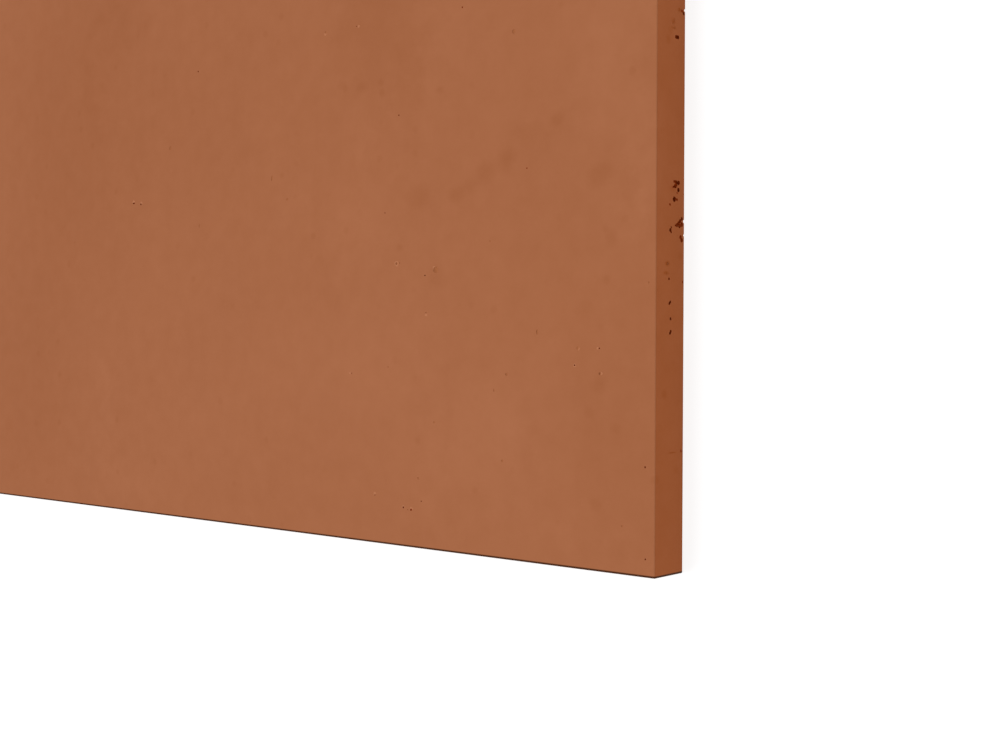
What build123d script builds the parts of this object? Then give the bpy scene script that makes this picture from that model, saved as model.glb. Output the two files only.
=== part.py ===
"""A cast concrete wall panel, lying face up as it is stored.

The panel is one solid, cast face down in a mould. The mould eases every arris that it shapes. The back
is the open side of the mould, where rising air is trapped: it leaves round voids along the edge, most of
them in the half next to the back, and some of them break through the back arris.

Millimetres. +X runs along the panel's length, +Y up the wall once it is hung, and +Z out of the front face.
The origin is the centre of the back face.
"""

import os

from build123d import *

# Overall size of the panel, as it is sold
PANEL_LENGTH = 1200.0
PANEL_HEIGHT = 600.0
PANEL_THICKNESS = 20.0

# Radius that the mould leaves along the front face and down the four corners
ARRIS_RADIUS = 0.6

# The deeper air voids on the right-hand edge, in groups from the highest down towards the bottom corner.
# Each is its height above the bottom edge, its distance in from the back face, its mouth and its depth.
EDGE_VOIDS = {
    "upper_notch": [(231.2, 0.1, 1.2, 0.8), (229.8, 1.1, 1.3, 1.0)],
    "upper_oval": [(219.4, 5.2, 1.7, 1.3), (219.3, 6.4, 1.7, 1.3)],
    "cluster": [
        (160.3, 4.2, 1.9, 1.5),
        (160.5, 6.1, 1.6, 1.1),
        (158.8, 6.6, 1.9, 1.5),
        (157.4, 4.3, 1.8, 1.4),
    ],
    "cluster_tail": [(153.4, 7.2, 2.2, 1.7)],
    "broken_arris": [
        (145.8, 1.7, 1.5, 0.9),
        (144.9, 2.9, 1.6, 1.1),
        (143.9, 4.0, 1.7, 1.2),
        (143.0, 5.3, 1.6, 1.1),
        (142.8, 3.3, 1.9, 1.5),
        (143.5, 1.7, 1.9, 0.9),
        (144.9, 0.0, 1.4, 0.7),
    ],
    "crescent": [(140.7, 10.0, 1.6, 1.2)],
    "back_pocket": [(138.3, 2.5, 1.8, 0.7), (137.1, 1.7, 1.8, 0.8), (139.2, 0.1, 0.9, 0.6)],
    "upper_slot": [(110.9, 10.5, 1.2, 1.0), (111.6, 9.8, 1.2, 1.0)],
    "lower_dot": [(104.7, 9.6, 1.3, 1.0)],
    "lower_slot": [(98.8, 9.9, 1.3, 1.1), (99.6, 9.4, 1.3, 1.1)],
}

# The right-hand edge face, seen square on: its X runs up from the bottom corner, its Y in from the back face.
right_edge = Plane(
    origin=(PANEL_LENGTH / 2, -PANEL_HEIGHT / 2, 0),
    x_dir=(0, 1, 0),
    z_dir=(1, 0, 0),
)

# Each void is the part of a ball of air that lay within the edge: its mouth and depth give the ball's radius
with BuildPart() as air_voids:
    for group in EDGE_VOIDS.values():
        for height, inward, mouth, depth in group:
            radius = (mouth**2 / 4 + depth**2) / (2 * depth)
            with Locations(right_edge * Location((height, inward, radius - depth))):
                Sphere(radius)

with BuildPart() as panel:
    with BuildSketch():
        Rectangle(PANEL_LENGTH, PANEL_HEIGHT)
    extrude(amount=PANEL_THICKNESS)

    # Ease the arrises that the mould forms: round the front face and down the corners
    front_face = panel.faces().sort_by(Axis.Z)[-1]
    corners = panel.edges().filter_by(Axis.Z)
    fillet(front_face.edges() + corners, ARRIS_RADIUS)

    # The set concrete keeps the shape of the air that was trapped against the mould
    add(air_voids.part, mode=Mode.SUBTRACT)

panel.part.label = "concrete_panel"

os.makedirs("parts", exist_ok=True)
export_step(panel.part, "parts/concrete_panel.step")
print(f"concrete_panel: volume {panel.part.volume:.0f} mm3, box {panel.part.bounding_box().size}")
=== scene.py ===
# %% [markdown]
# # A cast concrete wall panel
#
# The panel is one slab of terracotta-coloured concrete, poured face down in a smooth mould. The mould gave
# it a fine, cloudy front and crisp arrises. Air that could not get out left round voids along the edges and
# pinholes in the front. The slab lies on its back, face up, and the camera looks down at one corner of it.
#
# The CAD solid gives the size. It is loaded first, and everything below is made in its frame, in metres.
# Small sizes read better in millimetres, so they are written as so many times MM.

import math
import random

import bpy
from mathutils import Euler, Matrix, Vector


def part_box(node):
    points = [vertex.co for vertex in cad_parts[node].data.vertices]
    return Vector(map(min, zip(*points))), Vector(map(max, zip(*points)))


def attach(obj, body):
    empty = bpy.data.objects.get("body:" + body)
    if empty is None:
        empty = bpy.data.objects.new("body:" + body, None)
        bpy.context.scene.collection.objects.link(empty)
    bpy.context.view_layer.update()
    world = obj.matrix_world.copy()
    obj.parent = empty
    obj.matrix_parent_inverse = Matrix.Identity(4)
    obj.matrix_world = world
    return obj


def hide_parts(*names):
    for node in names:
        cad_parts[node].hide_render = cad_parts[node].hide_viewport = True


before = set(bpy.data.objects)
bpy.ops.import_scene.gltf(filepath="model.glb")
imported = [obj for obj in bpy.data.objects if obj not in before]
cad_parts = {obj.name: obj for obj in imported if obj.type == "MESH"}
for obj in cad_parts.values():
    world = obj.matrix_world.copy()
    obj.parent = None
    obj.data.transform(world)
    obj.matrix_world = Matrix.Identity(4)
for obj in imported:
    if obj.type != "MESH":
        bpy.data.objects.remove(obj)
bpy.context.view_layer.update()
MM = 0.001
LOW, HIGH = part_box("concrete_panel")
SIZE, MIDDLE = HIGH - LOW, (LOW + HIGH) / 2
CORNER = Vector((HIGH.x, LOW.y, HIGH.z))  # front face, bottom right: the corner that the camera looks at
print("panel", [round(side / MM, 2) for side in SIZE], "mm")

# %% [markdown]
# ## The slab
#
# A cube at the panel's size is the start. A single big face could carry neither the relief of the back nor
# hundreds of small holes without long, thin slivers, so the slab is first cut into squares. Subdividing all
# edges that run one way does what loop cuts do by hand.

# %% Cut the slab into squares
SQUARE = 20 * MM
TOUCH = 0.01 * MM  # two places nearer than this count as one


def select_edges(piece, wanted):
    """Leave the piece in edit mode with just the edges selected whose two ends pass the test."""
    bpy.ops.object.mode_set(mode="EDIT")
    bpy.ops.mesh.select_mode(type="EDGE")
    bpy.ops.mesh.select_all(action="DESELECT")
    bpy.ops.object.mode_set(mode="OBJECT")
    corners = piece.data.vertices
    for edge in piece.data.edges:
        edge.select = wanted(*(corners[index].co for index in edge.vertices))
    bpy.ops.object.mode_set(mode="EDIT")


bpy.ops.object.select_all(action="DESELECT")
bpy.ops.mesh.primitive_cube_add(size=1, location=MIDDLE, scale=SIZE)
slab = bpy.context.object
slab.name = "cast_slab"
bpy.ops.object.transform_apply(location=True, rotation=True, scale=True)
for axis in (0, 1):
    select_edges(slab, lambda a, b: abs((a - b)[axis]) > TOUCH)
    bpy.ops.mesh.subdivide(number_cuts=round(SIZE[axis] / SQUARE) - 1)
    bpy.ops.object.mode_set(mode="OBJECT")
print("squares", len(slab.data.polygons))

# %% [markdown]
# ## The eased arrises
#
# Concrete can't fill a dead sharp mould corner, so each arris that the mould forms comes out slightly round:
# the four round the front face and the four down the corners. A bevel of a few segments on just those edges
# makes a thin line that takes the light. The back is the open side of the mould, and keeps its plain arris.

# %% Round the mould arrises
ARRIS_RADIUS, ARRIS_SEGMENTS = 0.6 * MM, 4
ROUND = 0.5  # the bevel profile that is a quarter circle


def sides(point):
    """The outer side planes that a point of the slab lies on."""
    return {
        (axis, end)
        for axis in (0, 1)
        for end, plane in enumerate((LOW, HIGH))
        if abs(point[axis] - plane[axis]) < TOUCH
    }


def mould_arris(a, b):
    """Whether the edge between two points runs down a corner or round the front face."""
    shared = sides(a) & sides(b)
    at_front = abs(a.z - HIGH.z) < TOUCH and abs(b.z - HIGH.z) < TOUCH
    return len(shared) == 2 or (at_front and len(shared) == 1)


select_edges(slab, mould_arris)
bpy.ops.mesh.bevel(
    offset=ARRIS_RADIUS,
    offset_type="OFFSET",
    segments=ARRIS_SEGMENTS,
    profile=ROUND,
    affect="EDGES",
)
bpy.ops.object.mode_set(mode="OBJECT")
print("after the arrises", len(slab.data.polygons), "faces")

# %% [markdown]
# ## The open back
#
# The back was struck off level with the mould and floated by hand, so it isn't flat like the front: it has
# shallow hollows and drag marks. It is cut into finer squares, and two Displace modifiers push it inwards,
# never out, so the panel stays inside its own size. The rim stays where it is.

# %% Float the back
HOLLOWS = {"size": 45 * MM, "depth": 0.5 * MM}
DRAG_MARKS = {"size": 9 * MM, "depth": 0.25 * MM}
BACK_CUTS = 3
LEVEL_RIM = 2 * MM

bpy.ops.object.mode_set(mode="EDIT")
bpy.ops.mesh.select_mode(type="FACE")
bpy.ops.mesh.select_all(action="DESELECT")
bpy.ops.object.mode_set(mode="OBJECT")
for face in slab.data.polygons:
    face.select = face.center.z < LOW.z + TOUCH
bpy.ops.object.mode_set(mode="EDIT")
bpy.ops.mesh.subdivide(number_cuts=BACK_CUTS)
bpy.ops.object.mode_set(mode="OBJECT")
inside_rim = [
    point.index
    for point in slab.data.vertices
    if point.co.z < LOW.z + TOUCH
    and all(LOW[axis] + LEVEL_RIM < point.co[axis] < HIGH[axis] - LEVEL_RIM for axis in (0, 1))
]
floated = slab.vertex_groups.new(name="floated back")
floated.add(inside_rim, 1.0, "REPLACE")
for name, mark in (("float hollows", HOLLOWS), ("drag marks", DRAG_MARKS)):
    pattern = bpy.data.textures.new(name, "CLOUDS")
    pattern.noise_scale = mark["size"]
    relief = slab.modifiers.new(name, "DISPLACE")
    relief.texture = pattern
    relief.texture_coords = "LOCAL"
    relief.direction = "Z"
    relief.mid_level = 0.0
    relief.strength = mark["depth"]
    relief.vertex_group = floated.name
    bpy.ops.object.modifier_apply(modifier=relief.name)
slab.vertex_groups.clear()
deepest = max(point.co.z for point in slab.data.vertices if point.co.z < MIDDLE.z) - LOW.z
print("back relief to", round(deepest / MM, 2), "mm deep")

# %% [markdown]
# ## Air voids
#
# A bubble that stays against the mould leaves a round hole in the surface. One rough ball is modelled and
# then copied for every hole. Painted dots would be easier, but they would not catch light on their rims or
# break the outline of the back arris. There are three balls: a fine one for what the camera sees close by, a
# small one with few faces for what is repeated by the hundred, and a smooth one for dimples.

# %% Model one ball of air
random.seed(12)


def ball_of_air(detail, roughness):
    """An icosphere of radius 1 with its points pushed about, as bubbles are never quite round."""
    bpy.ops.object.select_all(action="DESELECT")
    bpy.ops.mesh.primitive_ico_sphere_add(subdivisions=detail, radius=1.0)
    bpy.ops.object.mode_set(mode="EDIT")
    bpy.ops.mesh.select_all(action="SELECT")
    bpy.ops.transform.vertex_random(offset=roughness, uniform=1.0, normal=0.0, seed=5)
    bpy.ops.object.mode_set(mode="OBJECT")
    bpy.ops.object.shade_smooth()
    return bpy.context.object


fine_ball = ball_of_air(detail=3, roughness=0.10)
small_ball = ball_of_air(detail=2, roughness=0.12)
smooth_ball = ball_of_air(detail=6, roughness=0.0)
print("balls", [len(ball.data.polygons) for ball in (fine_ball, small_ball, smooth_ball)], "faces")

# %% [markdown]
# A hole's mouth and its depth say all about it: from them follow the radius of the ball of air and how far
# its middle lies below the surface. A shallow dimple is the cap of a large ball. A deep void is a ball that
# is wider inside than at its mouth, so it looks dark. Each copy has its own mesh and its own turn. Scattered
# copies keep clear of the others, because balls that overlap can't be cut as one mesh.

# %% Sink copies of the ball
CLEAR = 1.3  # the least distance between two scattered holes, in sums of their radii
voids, pits, dimples, rims, taken = [], [], [], [], []


def leave_void(kind, ball, place, outward, mouth, depth, drawn_out=Matrix.Identity(4), keep_apart=False):
    """Put a copy of the ball where it leaves a void of this mouth and depth in the surface at this place."""
    radius = (mouth * mouth / 4 + depth * depth) / (2 * depth)
    middle = place - outward * (depth - radius)
    if keep_apart and any((middle - other).length < CLEAR * (radius + reach) for other, reach in taken):
        return False
    taken.append((middle, radius))
    turn = Euler([random.uniform(0, math.tau) for _ in range(3)]).to_matrix().to_4x4()
    void = bpy.data.objects.new("void", ball.data.copy())
    void.data.transform(Matrix.Translation(middle) @ drawn_out @ Matrix.Scale(radius, 4) @ turn)
    bpy.context.collection.objects.link(void)
    kind.append(void)
    return True


print("scattered holes keep", CLEAR, "times their radii apart")

# %% [markdown]
# ## Voids on the right-hand edge
#
# The deeper ones are the voids of the CAD solid, and the shallow ones beside them are only here. Most lie in
# the half next to the back, because air rises in the mould, and some break through the back arris.

# %% Place the right-hand edge's voids
RIGHT = Vector((1, 0, 0))
# Height above the bottom edge, distance in from the back face, mouth and depth, in millimetres
EDGE_VOIDS = {
    "upper notch": [(231.2, 0.1, 1.2, 0.8), (229.8, 1.1, 1.3, 1.0), (230.6, 2.3, 1.3, 0.4)],
    "upper oval": [(219.4, 5.2, 1.7, 1.3), (219.3, 6.4, 1.7, 1.3)],
    "cluster": [
        (160.3, 4.2, 1.9, 1.5),
        (160.5, 6.1, 1.6, 1.1),
        (160.6, 7.4, 1.2, 0.6),
        (159.4, 5.7, 1.3, 0.7),
        (158.8, 6.6, 1.9, 1.5),
        (158.3, 8.1, 1.1, 0.4),
        (157.4, 4.3, 1.8, 1.4),
        (156.1, 5.2, 0.9, 0.3),
    ],
    "cluster tail": [(153.4, 7.2, 2.2, 1.7), (153.4, 5.3, 1.3, 0.5), (151.0, 10.4, 1.2, 0.4)],
    "broken arris": [
        (145.8, 1.7, 1.5, 0.9),
        (144.9, 2.9, 1.6, 1.1),
        (143.9, 4.0, 1.7, 1.2),
        (143.0, 5.3, 1.6, 1.1),
        (142.8, 6.4, 0.9, 0.5),
        (142.8, 3.3, 1.9, 1.5),
        (143.5, 1.7, 1.9, 0.9),
        (144.9, 0.0, 1.4, 0.7),
    ],
    "crescent": [(141.9, 9.3, 0.9, 0.5), (140.7, 10.0, 1.6, 1.2), (139.9, 9.4, 1.0, 0.7)],
    "back pocket": [(138.3, 2.5, 1.8, 0.7), (137.1, 1.7, 1.8, 0.8), (139.2, 0.1, 0.9, 0.6)],
    "middle dots": [(120.9, 10.8, 1.1, 0.7), (120.0, 0.8, 1.0, 0.35)],
    "upper slot": [(110.9, 10.5, 1.2, 1.0), (111.6, 9.8, 1.2, 1.0)],
    "lower dot": [(104.7, 9.6, 1.3, 1.0)],
    "lower slot": [(98.8, 9.9, 1.3, 1.1), (99.6, 9.4, 1.3, 1.1)],
    "low notch": [(50.6, 1.4, 1.2, 0.3)],
}


def on_right_edge(height, inward):
    """The place on the right-hand edge at this height and distance in from the back, in millimetres."""
    return Vector((HIGH.x, LOW.y + height * MM, LOW.z + inward * MM))


for height, inward, mouth, depth in sum(EDGE_VOIDS.values(), []):
    leave_void(voids, fine_ball, on_right_edge(height, inward), RIGHT, mouth * MM, depth * MM)
print("right edge", len(voids), "voids in", len(EDGE_VOIDS), "groups")

# %% [markdown]
# Bubbles that touch run together. Overlapping balls would keep a sharp crease between them, so the balls are
# joined and a voxel remesh turns each group into one lump. A fine Displace then roughens the lumps, as raw
# paste is.

# %% Run the voids together
VOXEL = 0.16 * MM
ROUGH_PASTE = {"size": 0.7 * MM, "depth": 0.14 * MM}


def join(pieces):
    """Join the pieces into the first one, and leave it active."""
    bpy.ops.object.select_all(action="DESELECT")
    for piece in pieces:
        piece.select_set(True)
    bpy.context.view_layer.objects.active = pieces[0]
    bpy.ops.object.join()
    return pieces[0]


lumps = join(voids)
voids = [lumps]
melt = lumps.modifiers.new("run together", "REMESH")
melt.mode = "VOXEL"
melt.voxel_size = VOXEL
bpy.ops.object.modifier_apply(modifier=melt.name)
pattern = bpy.data.textures.new("rough paste", "CLOUDS")
pattern.noise_scale = ROUGH_PASTE["size"]
roughen = lumps.modifiers.new("rough paste", "DISPLACE")
roughen.texture = pattern
roughen.texture_coords = "LOCAL"
roughen.strength = ROUGH_PASTE["depth"]
bpy.ops.object.modifier_apply(modifier=roughen.name)
print("right edge lumps", len(lumps.data.polygons), "faces")

# %% [markdown]
# Bubbles that were pressed flat against the mould left dimples so shallow that only the light tells of them.
# They kept the mould's skin, so a smooth ball cuts them, and it will carry the colour of the face. A scratch
# from handling is the same ball, drawn out across the edge.

# %% Press the right-hand edge's dimples
EDGE_DIMPLES = [
    (230.9, 2.6, 1.5, 0.25),
    (230.6, 4.4, 1.6, 0.20),
    (226.0, 8.0, 1.7, 0.25),
    (224.4, 9.0, 1.6, 0.25),
    (222.9, 7.8, 1.8, 0.25),
    (127.0, 12.0, 1.5, 0.45),
    (123.1, 12.9, 1.4, 0.20),
]
SCRATCH, SCRATCH_STRETCH = (50.2, 7.9, 0.45, 0.08), 13

for height, inward, mouth, depth in EDGE_DIMPLES:
    leave_void(dimples, smooth_ball, on_right_edge(height, inward), RIGHT, mouth * MM, depth * MM)
height, inward, mouth, depth = SCRATCH
across_edge = Matrix.Scale(SCRATCH_STRETCH, 4, (0, 0, 1))
leave_void(dimples, smooth_ball, on_right_edge(height, inward), RIGHT, mouth * MM, depth * MM, across_edge)
print("dimples", len(dimples))

# %% [markdown]
# ## Pinholes, pits and rims in the front
#
# The front met the smooth floor of the mould, so its bubbles are small. Some are open pinholes, mostly under
# a millimetre wide. Others are pits that were skinned over: wide, shallow and lined a shade darker than the
# face, which is painted shade. Round some pinholes lies a shallow rim lined paler than the face, which is a
# painted highlight. All three are half a ball that is pressed to measure, and a rim is pressed almost flat.
# The places of those that the camera sees were measured in the photograph by a search for small spots, and
# their kinds and sizes were set one by one.

# %% Place the front's pinholes, pits and rims
FRONT = Vector((0, 0, 1))
# Left of the right-hand edge, up from the bottom edge, width, height and depth, in millimetres
PINHOLES = [
    (355.9, 174.8, 1.9, 0.9, 0.70),
    (349.2, 173.8, 1.0, 1.1, 0.60),
    (296.9, 241.6, 0.9, 0.8, 0.40),
    (253.2, 2.4, 0.4, 0.4, 0.20),
    (176.7, 80.6, 0.5, 0.5, 0.35),
    (173.6, 247.3, 0.5, 0.5, 0.35),
    (160.6, 22.8, 0.7, 0.6, 0.40),
    (154.1, 156.6, 0.6, 0.5, 0.40),
    (145.0, 201.6, 0.7, 0.7, 0.45),
    (144.3, 132.6, 0.4, 0.4, 0.20),
    (141.6, 18.3, 1.0, 0.9, 0.65),
    (138.6, 17.4, 0.4, 0.4, 0.25),
    (136.5, 17.6, 1.2, 1.1, 0.38),
    (130.0, 22.0, 0.6, 0.7, 0.40),
    (127.9, 126.2, 0.7, 0.6, 0.55),
    (105.1, 245.5, 0.8, 0.8, 0.25),
    (67.3, 170.4, 0.8, 0.5, 0.20),
    (41.0, 85.6, 0.8, 0.7, 0.50),
    (28.1, 92.7, 0.7, 0.6, 0.35),
    (4.9, 44.7, 0.7, 0.9, 0.40),
    (4.6, 7.5, 0.7, 0.7, 0.50),
]
PITS = [
    (415.9, 155.6, 0.9, 1.6, 0.12),
    (321.6, 202.7, 2.0, 2.0, 0.26),
    (295.9, 158.8, 1.1, 1.8, 0.20),
    (235.9, 179.4, 1.2, 3.0, 0.18),
    (224.0, 167.9, 1.5, 1.4, 0.15),
    (195.6, 247.6, 1.3, 1.3, 0.18),
    (151.7, 83.9, 1.0, 0.9, 0.15),
    (146.4, 132.4, 1.4, 1.1, 0.45),
    (131.9, 32.5, 1.1, 1.1, 0.20),
    (127.1, 109.0, 0.9, 0.8, 0.22),
    (121.8, 58.8, 1.2, 1.1, 0.14),
    (121.1, 128.6, 3.0, 3.0, 0.40),
    (88.2, 140.0, 1.0, 0.8, 0.12),
    (85.7, 74.2, 0.8, 1.4, 0.12),
    (80.8, 43.3, 1.2, 1.2, 0.18),
    (78.5, 81.3, 1.4, 1.4, 0.24),
    (74.9, 230.2, 2.0, 2.0, 0.28),
    (61.3, 99.7, 1.1, 2.2, 0.22),
    (39.4, 92.8, 1.0, 1.8, 0.12),
    (27.8, 82.2, 1.2, 1.1, 0.35),
    (16.1, 20.0, 1.0, 1.0, 0.15),
    (3.4, 119.2, 0.9, 0.9, 0.15),
]
# Left of the right-hand edge, up from the bottom edge, and width
RIMS = [
    (356.2, 175.5, 2.2),
    (348.8, 174.4, 1.8),
    (195.9, 246.9, 1.7),
    (178.0, 80.7, 1.2),
    (172.3, 247.1, 1.4),
    (160.7, 23.5, 1.7),
    (146.4, 132.4, 2.6),
    (141.6, 18.6, 1.7),
    (136.4, 17.9, 1.9),
    (127.2, 108.2, 1.6),
    (122.3, 129.6, 1.6),
    (41.0, 85.6, 1.5),
    (38.8, 92.4, 1.1),
    (29.1, 92.7, 1.1),
    (27.0, 82.3, 1.2),
]
RIM_DEPTH = 0.05 * MM


def leave_hole(kind, ball, place, width, height, depth, keep_apart=False):
    """Sink half a ball into the front, pressed to this width, height and depth."""
    across = max(width, height)
    pressed = Matrix.Diagonal((width / across, height / across, 2 * depth / across, 1))
    return leave_void(kind, ball, place, FRONT, across, across / 2, pressed, keep_apart)


def on_front(left, up):
    """The place on the front this far left of the right-hand edge and up from the bottom, in millimetres."""
    return CORNER + Vector((-left, up, 0)) * MM


for kind, holes in ((voids, PINHOLES), (pits, PITS)):
    for left, up, width, height, depth in holes:
        leave_hole(kind, fine_ball, on_front(left, up), width * MM, height * MM, depth * MM)
for left, up, width in RIMS:
    leave_hole(rims, fine_ball, on_front(left, up), width * MM, width * MM, RIM_DEPTH)
print("measured: pinholes", len(voids) - 1, "pits", len(pits), "rims", len(rims))

# %% [markdown]
# The rest of the front came off the same mould floor, so a seeded scatter gives it the same marks at the
# same density. It could be left bare, since the camera doesn't see it, but the panel would then look like
# two pieces from any other side. A mark that falls in the measured part is left out.

# %% Scatter marks over the rest of the front
SEEN_LEFT, SEEN_UP, MARGIN = 520, 330, 3
MARKS_PER_SQUARE_METRE = 380
MARK_KINDS = ("pinhole", "rimmed pinhole", "pit", "pit")
MARK_WIDTHS = (0.4, 0.5, 0.6, 0.7, 0.8, 1.0)
# The other measures of a mark, in its widths
PIT_WIDTH, PIT_HEIGHT, PIT_DEPTH = 2, (1.6, 3.2), 0.25
RIM_WIDTH, PINHOLE_DEPTH = 2, 0.6

for _ in range(round(MARKS_PER_SQUARE_METRE * SIZE.x * SIZE.y)):
    left = random.uniform(MARGIN, SIZE.x / MM - MARGIN)
    up = random.uniform(MARGIN, SIZE.y / MM - MARGIN)
    width = random.choice(MARK_WIDTHS) * MM
    mark = random.choice(MARK_KINDS)
    if left < SEEN_LEFT and up < SEEN_UP:
        continue
    place = on_front(left, up)
    if mark == "pit":
        height = random.uniform(*PIT_HEIGHT) * width
        leave_hole(pits, small_ball, place, PIT_WIDTH * width, height, PIT_DEPTH * width, keep_apart=True)
        continue
    rim = RIM_WIDTH * width
    rimmed = mark == "rimmed pinhole"
    if not rimmed or leave_hole(rims, small_ball, place, rim, rim, RIM_DEPTH, keep_apart=True):
        leave_hole(voids, small_ball, place, width, width, PINHOLE_DEPTH * width, keep_apart=not rimmed)
print("in all: pinholes", len(voids) - 1, "pits", len(pits), "rims", len(rims))

# %% [markdown]
# ## Voids on the rest of the edges
#
# The other edges get voids of the same kinds, in small groups, most of them near the back. An even spread
# would look like a pattern, so the step from group to group and the place within a group are both random.

# %% Scatter voids along the other edges
UP = Vector((0, 1, 0))
SEEN_EDGE, END_CLEAR = 245 * MM, 6 * MM
# The step to the first group and from one to the next, in spacings
GROUP_SPACING, FIRST_STEP, NEXT_STEP = 45 * MM, (0.2, 1.0), (0.3, 1.7)
GROUP_SIZES = (1, 1, 2, 2, 3, 5)
# Spread of the groups in from the back, and of the voids of a group along and across the edge
GROUP_INWARD, INWARD_TURNS_BACK, SPREAD_ALONG, SPREAD_ACROSS = 7, 17, 1.6, 1.4
NEAREST_BACK, NEAREST_FRONT = 0.2 * MM, 18 * MM
EDGE_MOUTHS, EDGE_DEPTH = (0.9, 1.1, 1.3, 1.6, 2.0), (0.4, 0.75)

# Where an edge starts, which way it runs, which way it looks, its length, and how much of it has listed
# voids
edges = [
    (Vector((HIGH.x, LOW.y, LOW.z)), UP, RIGHT, SIZE.y, SEEN_EDGE),
    (LOW, UP, -RIGHT, SIZE.y, 0.0),
    (LOW, RIGHT, -UP, SIZE.x, 0.0),
    (Vector((LOW.x, HIGH.y, LOW.z)), RIGHT, UP, SIZE.x, 0.0),
]
for start, along, outward, length, by_hand in edges:
    reach = by_hand + random.uniform(*FIRST_STEP) * GROUP_SPACING
    while reach < length - END_CLEAR:
        inward = abs(random.gauss(0, GROUP_INWARD)) % INWARD_TURNS_BACK * MM
        for _ in range(random.choice(GROUP_SIZES)):
            mouth = random.choice(EDGE_MOUTHS) * MM
            place = start + along * (reach + random.gauss(0, SPREAD_ALONG) * MM)
            across = inward + random.gauss(0, SPREAD_ACROSS) * MM
            place.z += min(max(across, NEAREST_BACK), NEAREST_FRONT)
            depth = random.uniform(*EDGE_DEPTH) * mouth
            leave_void(voids, small_ball, place, outward, mouth, depth, keep_apart=True)
        reach += random.uniform(*NEXT_STEP) * GROUP_SPACING
print("with the edges", len(voids), "cutters")

# %% [markdown]
# The back was open to the air, so bubbles that rose to it burst and left wide mouths. They are cut a little
# deeper than the hollows that the float left.

# %% Open bubbles in the back
BACK = Vector((0, 0, -1))
BACK_BUBBLES, BACK_SHARE = 160, 0.98
BACK_MOUTHS, BACK_DEPTH, BACK_DIP = (1.2, 1.5, 2.0, 2.6, 3.2), 0.55, Vector((0, 0, 0.3 * MM))

for _ in range(BACK_BUBBLES):
    x, y = (random.uniform(LOW[axis], HIGH[axis]) * BACK_SHARE for axis in (0, 1))
    place = Vector((x, y, LOW.z)) + BACK_DIP
    mouth = random.choice(BACK_MOUTHS) * MM
    leave_void(voids, small_ball, place, BACK, mouth, BACK_DEPTH * mouth, keep_apart=True)
print("in all", len(voids), "cutters")

# %% [markdown]
# ## Colour and finish
#
# The material is concrete with iron-oxide pigment all through it, cast against a smooth mould and left bare.
# The eye gets a matt, warm brown that is almost even: pale clouds where the paste bled, darker streaks that
# run up and down, and a few smudges where the release oil stayed. The pattern is three-dimensional and reads
# Object coordinates, so it runs on round the arrises as a mass colour does.

# %% Helpers for the materials
# A Mix node has inputs of one name for numbers, vectors and colours, so the colour ones go by number
FACTOR, COLOUR_A, COLOUR_B, MIXED = 0, 6, 7, 2


def linear(hex_colour):
    """An sRGB colour such as A66745 as linear red, green, blue and alpha."""
    parts = [int(hex_colour[i : i + 2], 16) / 255 for i in (0, 2, 4)]
    return [c / 12.92 if c <= 0.04045 else ((c + 0.055) / 1.055) ** 2.4 for c in parts] + [1.0]


def add_node(tree, kind, inputs=None, **settings):
    """Add a node, set its properties, and give each input a value or another node's output."""
    node = tree.nodes.new(kind)
    for name, value in settings.items():
        setattr(node, name, value)
    for socket, value in (inputs or {}).items():
        if isinstance(value, bpy.types.NodeSocket):
            tree.links.new(value, node.inputs[socket])
        else:
            node.inputs[socket].default_value = value
    return node


def new_material(name):
    """An empty node material, and its tree."""
    material = bpy.data.materials.new(name)
    material.use_nodes = True
    material.node_tree.nodes.clear()
    return material, material.node_tree


print("terracotta A66745 is linear", [round(part, 3) for part in linear("A66745")])

# %% [markdown]
# ### The cast face
#
# A single tone number runs the colour, from the darkest to the palest paste. Five noises make it up, each at
# a size in millimetres taken from the real face: broad drifts, clouds, mottle, streaks that are drawn out
# upwards, and grain. Real sand grain is under half a millimetre, too fine to show, so it is drawn coarser.
# A painted image would be quicker, but it would end at the arrises.

# %% Tone of the paste
MIDDLE_TONE = 0.5
NOISE_MIDDLE, NOISE_RANGE = 0.5, (0.3, 0.7)  # what Blender's noise swings round, and where most of it lies
STREAK_WIDTH, STREAK_LENGTH = 16 * MM, 280 * MM

concrete, tree = new_material("pigmented cast concrete")
where = add_node(tree, "ShaderNodeTexCoord")
position = where.outputs["Object"]
drawn_out = add_node(
    tree,
    "ShaderNodeMapping",
    {"Vector": position, "Scale": (1 / STREAK_WIDTH, 1 / STREAK_LENGTH, 1 / STREAK_WIDTH)},
)
# Where it is read, its size, detail and roughness, and its share in the tone
NOISES = {
    "drift": (position, 180 * MM, 2.0, 0.5, 0.15),
    "cloud": (position, 45 * MM, 5.0, 0.6, 0.23),
    "mottle": (position, 10 * MM, 4.0, 0.5, 0.40),
    "streak": (drawn_out.outputs[0], 1.0, 3.0, 0.5, 0.11),
    "grain": (position, 1.6 * MM, 3.0, 0.7, 0.16),
}
tone, noises = MIDDLE_TONE, {}
for name, (point, size, detail, roughness, share) in NOISES.items():
    noise = add_node(
        tree,
        "ShaderNodeTexNoise",
        {"Vector": point, "Scale": 1 / size, "Detail": detail, "Roughness": roughness},
    )
    noises[name] = noise.outputs["Fac"]
    swing = add_node(tree, "ShaderNodeMath", {0: noises[name], 1: NOISE_MIDDLE}, operation="SUBTRACT")
    mixed = {0: swing.outputs[0], 1: share, 2: tone}
    tone = add_node(tree, "ShaderNodeMath", mixed, operation="MULTIPLY_ADD").outputs[0]
print("tone from", list(noises))

# %% [markdown]
# Dark flecks of a few millimetres lie all over the face, where a little pigment stayed together. A Voronoi
# pattern has one point per cell, so each cell gets a spot round its point. A random number per cell, raised
# to a power, leaves most spots faint and a few of them clear.

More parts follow.
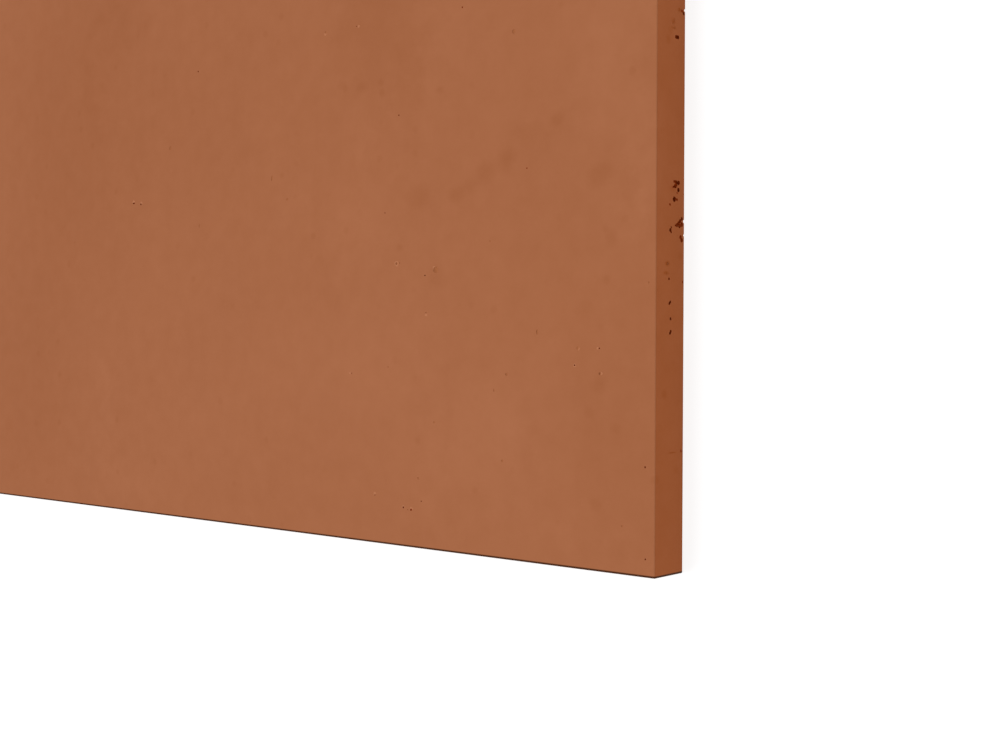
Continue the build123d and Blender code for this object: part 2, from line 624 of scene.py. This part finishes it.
# %% Flecks
FLECK_SPACING, FLECK_RADIUS, FLECK_TONE = 12 * MM, 2.8 * MM, -0.22
FLECK_CORE, FLECK_RARITY = 0.3, 2.5

cells = add_node(tree, "ShaderNodeTexVoronoi", {"Vector": position, "Scale": 1 / FLECK_SPACING})
spot = add_node(
    tree,
    "ShaderNodeMapRange",
    {
        "Value": cells.outputs["Distance"],
        "From Min": FLECK_CORE * FLECK_RADIUS / FLECK_SPACING,
        "From Max": FLECK_RADIUS / FLECK_SPACING,
        "To Min": FLECK_TONE,
        "To Max": 0.0,
    },
    interpolation_type="SMOOTHSTEP",
)
chance = add_node(tree, "ShaderNodeSeparateColor", {0: cells.outputs["Color"]})
seldom = add_node(tree, "ShaderNodeMath", {0: chance.outputs[0], 1: FLECK_RARITY}, operation="POWER")
mixed = {0: spot.outputs[0], 1: seldom.outputs[0], 2: tone}
tone = add_node(tree, "ShaderNodeMath", mixed, operation="MULTIPLY_ADD").outputs[0]
print("flecks every", round(FLECK_SPACING / MM), "mm")

# %% [markdown]
# ### Stains and smudges
#
# Stains are broad patches that dried darker or paler. Smudges are smaller and firmer, where the release oil
# was rubbed about. Each is a listed soft ellipse that is added to the tone. A bare ellipse would look like
# the spot of a lamp, so a noise moves each point first, and that breaks up the edges. Smudges move less than
# stains, so that they stay apart.

# %% Break up the edges of stains
RAGGED_SIZE, WANDER, NUDGE = 22 * MM, 55 * MM, 8 * MM
PATCH_CORE, PATCH_RIM = 0.2, 1.25  # where a stain starts to fade and where it ends, in half sizes

ragged = add_node(
    tree,
    "ShaderNodeTexNoise",
    {"Vector": position, "Scale": 1 / RAGGED_SIZE, "Detail": 4.0, "Roughness": 0.62},
)
pull = add_node(
    tree,
    "ShaderNodeVectorMath",
    {0: ragged.outputs["Color"], 1: (NOISE_MIDDLE, NOISE_MIDDLE, NOISE_MIDDLE)},
    operation="SUBTRACT",
)
wandered, nudged = (
    add_node(
        tree,
        "ShaderNodeVectorMath",
        {0: pull.outputs[0], 1: (reach, reach, 0), 2: position},
        operation="MULTIPLY_ADD",
    ).outputs[0]
    for reach in (WANDER, NUDGE)
)


def add_stain_or_shade(tone, point, middle, half_sizes, turn, strength):
    """Add a soft stain, or a spot of painted shade, of this strength to the tone, and return the new tone.
    """
    turned = (0, 0, math.radians(turn))
    ellipse = add_node(
        tree,
        "ShaderNodeMapping",
        {"Vector": point, "Location": middle, "Rotation": turned, "Scale": half_sizes},
        vector_type="TEXTURE",
    )
    out = add_node(tree, "ShaderNodeVectorMath", {0: ellipse.outputs[0]}, operation="LENGTH")
    patch = add_node(
        tree,
        "ShaderNodeMapRange",
        {
            "Value": out.outputs["Value"],
            "From Min": PATCH_CORE,
            "From Max": PATCH_RIM,
            "To Min": strength,
            "To Max": 0.0,
        },
        interpolation_type="SMOOTHSTEP",
    )
    return add_node(tree, "ShaderNodeMath", {0: patch.outputs[0], 1: tone}, operation="ADD").outputs[0]


print("stains wander by", round(WANDER / MM), "mm and smudges by", round(NUDGE / MM))

# %% [markdown]
# The stains are listed by where they lie on the front, as seen with the panel hung. A dark one takes tone
# away and a pale one adds it. The dark ones on the left and the pale ones at the top right also lay the
# front's gradient of light into the colour: that part is painted shade and painted light.

# %% Place the stains and smudges
PATCH_DEPTH = 10 * MM
# Besides real stains, this table holds painted shade on the left and painted light at the top right
# Left of the right-hand edge, up from the bottom edge, half width and half height in millimetres; turn in
# degrees; tone
STAINS_AND_GRADIENT = {
    "dark top left": [
        (421, 235, 102, 125, 0, -0.24),
        (399, 241, 13, 36, 0, -0.10),
        (368, 288, 34, 30, 0, -0.15),
        (350, 201, 14, 29, 0, -0.08),
        (300, 240, 60, 80, 0, -0.10),
        (430, 150, 150, 170, 0, -0.04),
        (230, 225, 150, 100, 0, -0.035),
    ],
    "dark low left": [(471, 70, 64, 93, 0, -0.18)],
    "dark top middle": [(164, 242, 33, 38, 0, -0.16), (138, 219, 10, 35, 0, -0.13)],
    "dark right": [(21, 57, 24, 40, 0, -0.08), (13, 106, 15, 24, 0, -0.05), (7, 7, 13, 9, 0, -0.08)],
    "pale top right": [(109, 240, 18, 19, 0, 0.12), (26, 213, 23, 37, 0, 0.16), (9, 167, 9, 38, 0, 0.18)],
    "pale middle": [
        (171, 152, 26, 32, 0, 0.16),
        (170, 189, 10, 11, 0, 0.12),
        (223, 167, 21, 23, 0, 0.12),
        (192, 89, 84, 32, 0, 0.11),
        (125, 90, 70, 75, 0, 0.05),
        (165, 52, 80, 42, 0, 0.06),
    ],
    "pale low right": [
        (54, 91, 14, 12, 0, 0.10),
        (75, 66, 34, 26, 0, 0.10),
        (88, 45, 38, 30, 0, 0.13),
        (78, 54, 12, 13, 0, 0.05),
        (70, 15, 40, 16, 0, 0.08),
        (124, 39, 9, 48, 0, 0.09),
        (60, 72, 50, 45, 0, 0.035),
    ],
    "pale low left": [(386, 60, 10, 41, 0, 0.12), (358, 15, 41, 14, 0, 0.12), (282, 54, 73, 35, 0, 0.07)],
}
SMUDGES = {
    "rubbed band": [
        (133, 162.5, 8.5, 7.5, 0, -0.24),
        (109, 161.7, 6, 5, 0, -0.19),
        (101, 164.7, 6, 5, 0, -0.18),
        (91, 170.5, 7, 6.5, 0, -0.24),
        (79.6, 175.3, 6, 7, 0, -0.24),
        (66, 184, 13, 6, 0, -0.15),
        (51, 189.6, 5.5, 4, 30, -0.24),
        (28, 164.5, 8, 6.5, 0, -0.20),
        (22.5, 137.5, 4, 6, 15, -0.18),
    ],
    "above the band": [
        (118.6, 210, 2.6, 2.2, 0, -0.20),
        (169.7, 217.6, 5, 3.4, 0, -0.18),
        (185, 219.5, 4, 3, 0, -0.15),
    ],
    "below the band": [
        (120, 126, 6, 8, 0, -0.13),
        (35, 108, 5, 5, 0, -0.12),
        (28.5, 77, 4.5, 4, 0, -0.16),
        (33, 66, 3.6, 3.2, 0, -0.18),
        (20, 60, 3.6, 3.2, 0, -0.16),
        (29.7, 28.3, 3.6, 3, 0, -0.16),
    ],
}

for patches, moved in ((STAINS_AND_GRADIENT, wandered), (SMUDGES, nudged)):
    for left, up, half_width, half_height, turn, strength in sum(patches.values(), []):
        half_sizes = (half_width * MM, half_height * MM, PATCH_DEPTH)
        tone = add_stain_or_shade(tone, moved, on_front(left, up), half_sizes, turn, strength)
print("stains and smudges", [sum(len(rows) for rows in patches.values()) for patches in (STAINS_AND_GRADIENT, SMUDGES)])

# %% [markdown]
# The dimples of the right-hand edge and the scratch are too shallow to look dark on their own, so each gets
# a small dark spot of painted shade that doesn't wander. One more spot of painted shade lies beside the
# cluster of voids.

# %% Paint shade into the marks of the right-hand edge
# Height above the bottom edge, distance in from the back face, half height and half width, in millimetres;
# tone
EDGE_PAINTED_SHADE = [
    (127.0, 12.0, 1.3, 2.0, -0.6),
    (123.2, 12.9, 1.0, 2.6, -0.5),
    (225.4, 8.3, 1.5, 1.6, -0.45),
    (222.7, 8.3, 0.7, 2.2, -0.45),
    (157.6, 8.5, 1.6, 3.0, -0.25),
    (50.2, 7.8, 0.35, 3.4, -0.7),
    (230.7, 4.0, 0.9, 1.8, -0.6),
]
# Each row is a spot of painted shade, in the dimples, in the scratch and beside the cluster of voids
for height, inward, half_height, half_width, strength in EDGE_PAINTED_SHADE:
    half_sizes = (PATCH_DEPTH, half_height * MM, half_width * MM)
    tone = add_stain_or_shade(tone, position, on_right_edge(height, inward), half_sizes, 0, strength)
print("edge marks", len(EDGE_PAINTED_SHADE))

# %% [markdown]
# The rest of the panel, left of the listed stains, above and behind them, has stains too. Nobody
# knows where, so a noise draws them, a little taller than wide. Three ramps along the axes bring them in
# where the others end.

# %% Stain the rest of the panel
BLOTCH_WIDTH, BLOTCH_HEIGHT, BLOTCH_TONES = 50 * MM, 110 * MM, (-0.24, 0.2)
# From where to where the blotches come in, along each axis
COME_IN = {
    "X": (HIGH.x - 510 * MM, HIGH.x - 600 * MM),
    "Y": (LOW.y + 325 * MM, LOW.y + 415 * MM),
    "Z": (LOW.z + 1.2 * MM, LOW.z + 0.9 * MM),
}

parts = add_node(tree, "ShaderNodeSeparateXYZ", {0: position})
to_left, above, behind = (
    add_node(
        tree,
        "ShaderNodeMapRange",
        {"Value": parts.outputs[axis], "From Min": first, "From Max": full},
    ).outputs[0]
    for axis, (first, full) in COME_IN.items()
)
beside = add_node(tree, "ShaderNodeMath", {0: to_left, 1: above}, operation="MAXIMUM")
beyond = add_node(tree, "ShaderNodeMath", {0: beside.outputs[0], 1: behind}, operation="MAXIMUM")
blotch_place = add_node(
    tree,
    "ShaderNodeMapping",
    {"Vector": wandered, "Scale": (1 / BLOTCH_WIDTH, 1 / BLOTCH_HEIGHT, 1 / BLOTCH_WIDTH)},
)
blotch = add_node(
    tree,
    "ShaderNodeTexNoise",
    {"Vector": blotch_place.outputs[0], "Scale": 1.0, "Detail": 2.0},
)
blotch_tone = add_node(
    tree,
    "ShaderNodeMapRange",
    {
        "Value": blotch.outputs["Fac"],
        "From Min": NOISE_RANGE[0],
        "From Max": NOISE_RANGE[1],
        "To Min": BLOTCH_TONES[0],
        "To Max": BLOTCH_TONES[1],
    },
)
mixed = {0: blotch_tone.outputs[0], 1: beyond.outputs[0], 2: tone}
tone = add_node(tree, "ShaderNodeMath", mixed, operation="MULTIPLY_ADD").outputs[0]
print("blotches", round(BLOTCH_WIDTH / MM), "by", round(BLOTCH_HEIGHT / MM), "mm")

# %% [markdown]
# ### Colours of the paste
#
# The tone picks a colour between the dark and the pale paste. A thin veil of pale lime colour greys the two
# broad faces a little, while the edges keep the pure pigment. The veil is painted sheen: it stands for the
# faint haze of light on the broad faces. The Normal tells which is which, so one material does for the whole
# slab.

# %% Colour the paste and paint the sheen of the broad faces
DARK_PASTE, PALE_PASTE, PALE_SHEEN = linear("914712"), linear("A45D35"), linear("E6D9BE")
SHEEN_SHARE, SHEEN_FACING = 0.064, (0.25, 0.75)

paste = add_node(
    tree,
    "ShaderNodeMix",
    {FACTOR: tone, COLOUR_A: DARK_PASTE, COLOUR_B: PALE_PASTE},
    data_type="RGBA",
    clamp_factor=True,
)
facing = add_node(tree, "ShaderNodeSeparateXYZ", {0: where.outputs["Normal"]})
broad = add_node(tree, "ShaderNodeMath", {0: facing.outputs["Z"]}, operation="ABSOLUTE")
# Painted sheen: the broad faces, found by their Normal, get a pale veil
painted_sheen = add_node(
    tree,
    "ShaderNodeMapRange",
    {
        "Value": broad.outputs[0],
        "From Min": SHEEN_FACING[0],
        "From Max": SHEEN_FACING[1],
        "To Min": 0.0,
        "To Max": SHEEN_SHARE,
    },
)
skin = add_node(
    tree,
    "ShaderNodeMix",
    {FACTOR: painted_sheen.outputs[0], COLOUR_A: paste.outputs[MIXED], COLOUR_B: PALE_SHEEN},
    data_type="RGBA",
)
print("bloom of", SHEEN_SHARE, "on the broad faces")

# %% [markdown]
# The panel stood on its bottom edge. Along the arrises round that edge lies a painted contact shade, with a
# fainter film of it between them. It could be a thin dark piece of its own, but shade has no thickness, so
# it
# is a colour that depends on the place: low down it shows, most of all close to an arris.

# %% Painted contact shade along the bottom
CONTACT_SHADE, SHADE_FILM_SHARE, SHADE_LINE_SHARE = linear("42200A"), 0.22, 0.97
# The painted shade fades out between these heights, and from line to film between these distances in from an
# arris
FADE_UP, FADE_IN = (0.8 * MM, 1.1 * MM), (0.8 * MM, 2.4 * MM)

from_middle = add_node(tree, "ShaderNodeVectorMath", {0: position, 1: MIDDLE}, operation="SUBTRACT")
off_middle = add_node(tree, "ShaderNodeVectorMath", {0: from_middle.outputs[0]}, operation="ABSOLUTE")
aside = add_node(tree, "ShaderNodeSeparateXYZ", {0: off_middle.outputs[0]})
at_ends, at_faces = (
    add_node(
        tree,
        "ShaderNodeMapRange",
        {
            "Value": aside.outputs[axis],
            "From Min": SIZE[axis] / 2 - FADE_IN[1],
            "From Max": SIZE[axis] / 2 - FADE_IN[0],
            "To Min": SHADE_FILM_SHARE,
            "To Max": SHADE_LINE_SHARE,
        },
        interpolation_type="SMOOTHSTEP",
    ).outputs[0]
    for axis in (0, 2)
)
near_arris = add_node(tree, "ShaderNodeMath", {0: at_ends, 1: at_faces}, operation="MAXIMUM")
low_down = add_node(
    tree,
    "ShaderNodeMapRange",
    {
        "Value": parts.outputs["Y"],
        "From Min": LOW.y + FADE_UP[0],
        "From Max": LOW.y + FADE_UP[1],
        "To Min": 1.0,
        "To Max": 0.0,
    },
    interpolation_type="SMOOTHSTEP",
)
shares = {0: near_arris.outputs[0], 1: low_down.outputs[0]}
# How much painted contact shade each place gets
contact_shade = add_node(tree, "ShaderNodeMath", shares, operation="MULTIPLY")
colour = add_node(
    tree,
    "ShaderNodeMix",
    {FACTOR: contact_shade.outputs[0], COLOUR_A: skin.outputs[MIXED], COLOUR_B: CONTACT_SHADE},
    data_type="RGBA",
)
print("dirt up to", round(FADE_UP[1] / MM, 1), "mm")

# %% [markdown]
# ### The finish
#
# The skin off the mould is smooth and matt, with a very fine sand grain under it. The grain goes into a weak
# bump, and the clouds into the roughness, because paste that bled is a little more open. Concrete has little
# sheen, so the specular level is well under the default.

# %% Finish the concrete
POLISH = (0.74, 0.84)
GRAIN_STRENGTH, GRAIN_RELIEF = 0.10, 0.15 * MM

relief = add_node(
    tree,
    "ShaderNodeBump",
    {"Height": noises["grain"], "Strength": GRAIN_STRENGTH, "Distance": GRAIN_RELIEF},
)
polish = add_node(
    tree,
    "ShaderNodeMapRange",
    {
        "Value": noises["cloud"],
        "From Min": NOISE_RANGE[0],
        "From Max": NOISE_RANGE[1],
        "To Min": POLISH[0],
        "To Max": POLISH[1],
    },
)
surface = add_node(
    tree,
    "ShaderNodeBsdfPrincipled",
    {
        "Base Color": colour.outputs[MIXED],
        "Roughness": polish.outputs[0],
        "IOR": 1.5,
        "Specular IOR Level": 0.15,
        "Normal": relief.outputs[0],
    },
)
add_node(tree, "ShaderNodeOutputMaterial", {"Surface": surface.outputs[0]})
print("concrete", len(tree.nodes), "nodes")

# %% [markdown]
# ### The inside of voids, pits and rims
#
# A void's wall never touched the mould. It is raw paste, rough and unpolished, with no sheen, and its
# deeper, redder brown is partly the raw paste and partly painted shade of the hollow. A pit is lined a shade
# darker than the face, which is painted shade, and a rim is lined paler, which is a painted highlight. Each
# has its own material, which the cutters carry into the slab.

# %% Raw paste with painted shade, and painted pit shade and rim highlight
GRIT, GRIT_STRENGTH, GRIT_RELIEF = 0.5 * MM, 0.3, 0.1 * MM


def rough_wall(name, shade, tint):
    """A rough wall with no sheen, whose grit runs from one colour to the other."""
    material, tree = new_material(name)
    position = add_node(tree, "ShaderNodeTexCoord").outputs["Object"]
    grit = add_node(tree, "ShaderNodeTexNoise", {"Vector": position, "Scale": 1 / GRIT, "Detail": 2.0})
    colour = add_node(
        tree,
        "ShaderNodeMix",
        {FACTOR: grit.outputs["Fac"], COLOUR_A: linear(shade), COLOUR_B: linear(tint)},
        data_type="RGBA",
    )
    relief = add_node(
        tree,
        "ShaderNodeBump",
        {"Height": grit.outputs["Fac"], "Strength": GRIT_STRENGTH, "Distance": GRIT_RELIEF},
    )
    surface = add_node(
        tree,
        "ShaderNodeBsdfPrincipled",
        {
            "Base Color": colour.outputs[MIXED],
            "Roughness": 0.9,
            "Specular IOR Level": 0.1,
            "Normal": relief.outputs[0],
        },
    )
    add_node(tree, "ShaderNodeOutputMaterial", {"Surface": surface.outputs[0]})
    return material


# The void lining is raw paste with painted shade, the pit lining is painted shade, and the rim lining is a
# painted highlight
void_paste_and_shade = rough_wall("raw paste and painted shade in voids", "6A2000", "9C3C04")
pit_painted_shade = rough_wall("painted shade in pits", "9B5D39", "A36541")
rim_painted_highlight = rough_wall("painted highlight round pinholes", "AA6C4A", "B47654")
print("walls", [material.name for material in (void_paste_and_shade, pit_painted_shade, rim_painted_highlight)])

# %% [markdown]
# ## Cut the voids
#
# All the balls of one round are joined into one mesh and taken away from the slab in one Boolean. Taking
# them away one by one would give the same holes and take minutes. Rims and dimples go first, because the
# pinholes lie within the rims, and balls that overlap can't be in the same mesh.

# %% Take the voids out of the slab
slab.data.materials.append(concrete)


def take_out(linings):
    """Join the cutters, each with the lining that its hole gets, and take them away from the slab."""
    for cutters, lining in linings:
        for cutter in cutters:
            cutter.data.materials.append(lining)
    air = join(sum((cutters for cutters, _ in linings), []))
    bpy.ops.object.select_all(action="DESELECT")
    slab.select_set(True)
    bpy.context.view_layer.objects.active = slab
    cut = slab.modifiers.new("air", "BOOLEAN")
    cut.operation = "DIFFERENCE"
    cut.solver = "MANIFOLD"
    cut.material_mode = "TRANSFER"
    cut.object = air
    bpy.ops.object.modifier_apply(modifier=cut.name)
    bpy.data.objects.remove(air)
    print("cut slab", len(slab.data.polygons), "faces", [m.name for m in slab.data.materials])


take_out([(rims, rim_painted_highlight), (dimples, concrete)])
take_out([(voids, void_paste_and_shade), (pits, pit_painted_shade)])
for helper in (fine_ball, small_ball, smooth_ball):
    bpy.data.objects.remove(helper)

# %% [markdown]
# ## Shading
#
# Faces that meet at a shallow angle, as on the arrises and inside the voids, are shaded as one. The Weighted
# Normal modifier lets the large flat faces rule at their rims, so the rounding stays in the arris.

# %% Smooth the arrises and keep the faces flat
SMOOTH_BELOW = math.radians(35)

bpy.ops.object.shade_smooth_by_angle(angle=SMOOTH_BELOW)
flat = slab.modifiers.new("flat faces", "WEIGHTED_NORMAL")
flat.mode = "FACE_AREA"
flat.keep_sharp = True
bpy.ops.object.modifier_apply(modifier=flat.name)
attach(slab, "root")
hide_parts("concrete_panel")
print("slab", sum(len(face.vertices) - 2 for face in slab.data.polygons), "triangles")

# %% [markdown]
# ## The floor
#
# The panel lies on a white studio floor. A plain white one would turn grey in the slab's own shade, so this
# one is grey and glows, as a lightbox does, and stays white close to the slab.

# %% Floor
FLOOR_SIDE, FLOOR_GAP = 16.0, 0.2 * MM
FLOOR_GREY, FLOOR_GLOW = 0.30, 0.8
WHITE = (1.0, 1.0, 1.0, 1.0)

white_floor, tree = new_material("white studio floor")
surface = add_node(
    tree,
    "ShaderNodeBsdfPrincipled",
    {
        "Base Color": (FLOOR_GREY, FLOOR_GREY, FLOOR_GREY, 1.0),
        "Roughness": 0.9,
        "Specular IOR Level": 0.1,
        "Emission Color": WHITE,
        "Emission Strength": FLOOR_GLOW,
    },
)
add_node(tree, "ShaderNodeOutputMaterial", {"Surface": surface.outputs[0]})
bpy.ops.object.select_all(action="DESELECT")
bpy.ops.mesh.primitive_plane_add(size=FLOOR_SIDE, location=(0, 0, LOW.z - FLOOR_GAP))
floor = bpy.context.object
floor.name = "studio_floor"
floor.data.materials.append(white_floor)
print("floor", [round(side, 2) for side in floor.dimensions])

# %% [markdown]
# ## The light
#
# A broad soft sun from the left lights the front and can't reach the right-hand edge. That edge has only the
# light of the sky and the floor, so it looks deeper in colour. The sky is pure white to the camera and gives
# less light than that, which keeps the edge apart from the front.

# %% Light
SKY_LIGHT, SKY_SEEN = 0.66, 1.0
SUN_TILT, SUN_WIDTH, SUN_STRENGTH = math.radians(-30), math.radians(40), 1.45

scene = bpy.context.scene
scene.view_settings.view_transform = "Standard"
world = bpy.data.worlds.new("white studio")
scene.world = world
world.use_nodes = True
tree = world.node_tree
tree.nodes.clear()
seen = add_node(tree, "ShaderNodeLightPath")
glow = add_node(
    tree,
    "ShaderNodeMapRange",
    {"Value": seen.outputs["Is Camera Ray"], "To Min": SKY_LIGHT, "To Max": SKY_SEEN},
)
sky = add_node(tree, "ShaderNodeBackground", {"Color": WHITE, "Strength": glow.outputs[0]})
add_node(tree, "ShaderNodeOutputWorld", {"Surface": sky.outputs[0]})

bpy.ops.object.light_add(type="SUN", rotation=(0, SUN_TILT, 0))
sun = bpy.context.object
sun.name = "soft_sun"
sun.data.energy = SUN_STRENGTH
sun.data.angle = SUN_WIDTH
# The sun is kept out of all reflections; the faint sheen of the broad faces is painted into their colour
# instead
sun.visible_glossy = False  # the front is too matt to show the sun in its sheen
print("light", sun.name, round(sun.data.energy, 2))

# %% [markdown]
# ## The camera
#
# The camera has a normal 50 mm lens. Its place comes from the lines of the front and of the right-hand edge.
# With no turn, a camera looks straight down at the face with the panel's top upwards, so the three angles
# are how far it is swung to the right and tilted from there.

# %% Camera
LENS, SENSOR_WIDTH, NEAREST_SEEN = 50, 36, 0.01
CAMERA_FROM_CORNER = Vector((315.09, 90.44, 462.88)) * MM
CAMERA_TURN = (-0.7327, 40.6428, 0.2410)

bpy.ops.object.camera_add(
    location=CORNER + CAMERA_FROM_CORNER,
    rotation=[math.radians(angle) for angle in CAMERA_TURN],
)
camera = bpy.context.object
camera.name = "camera"
camera.data.lens = LENS
camera.data.sensor_width = SENSOR_WIDTH
camera.data.clip_start = NEAREST_SEEN
scene.camera = camera
print("camera", [round(c, 4) for c in camera.location])
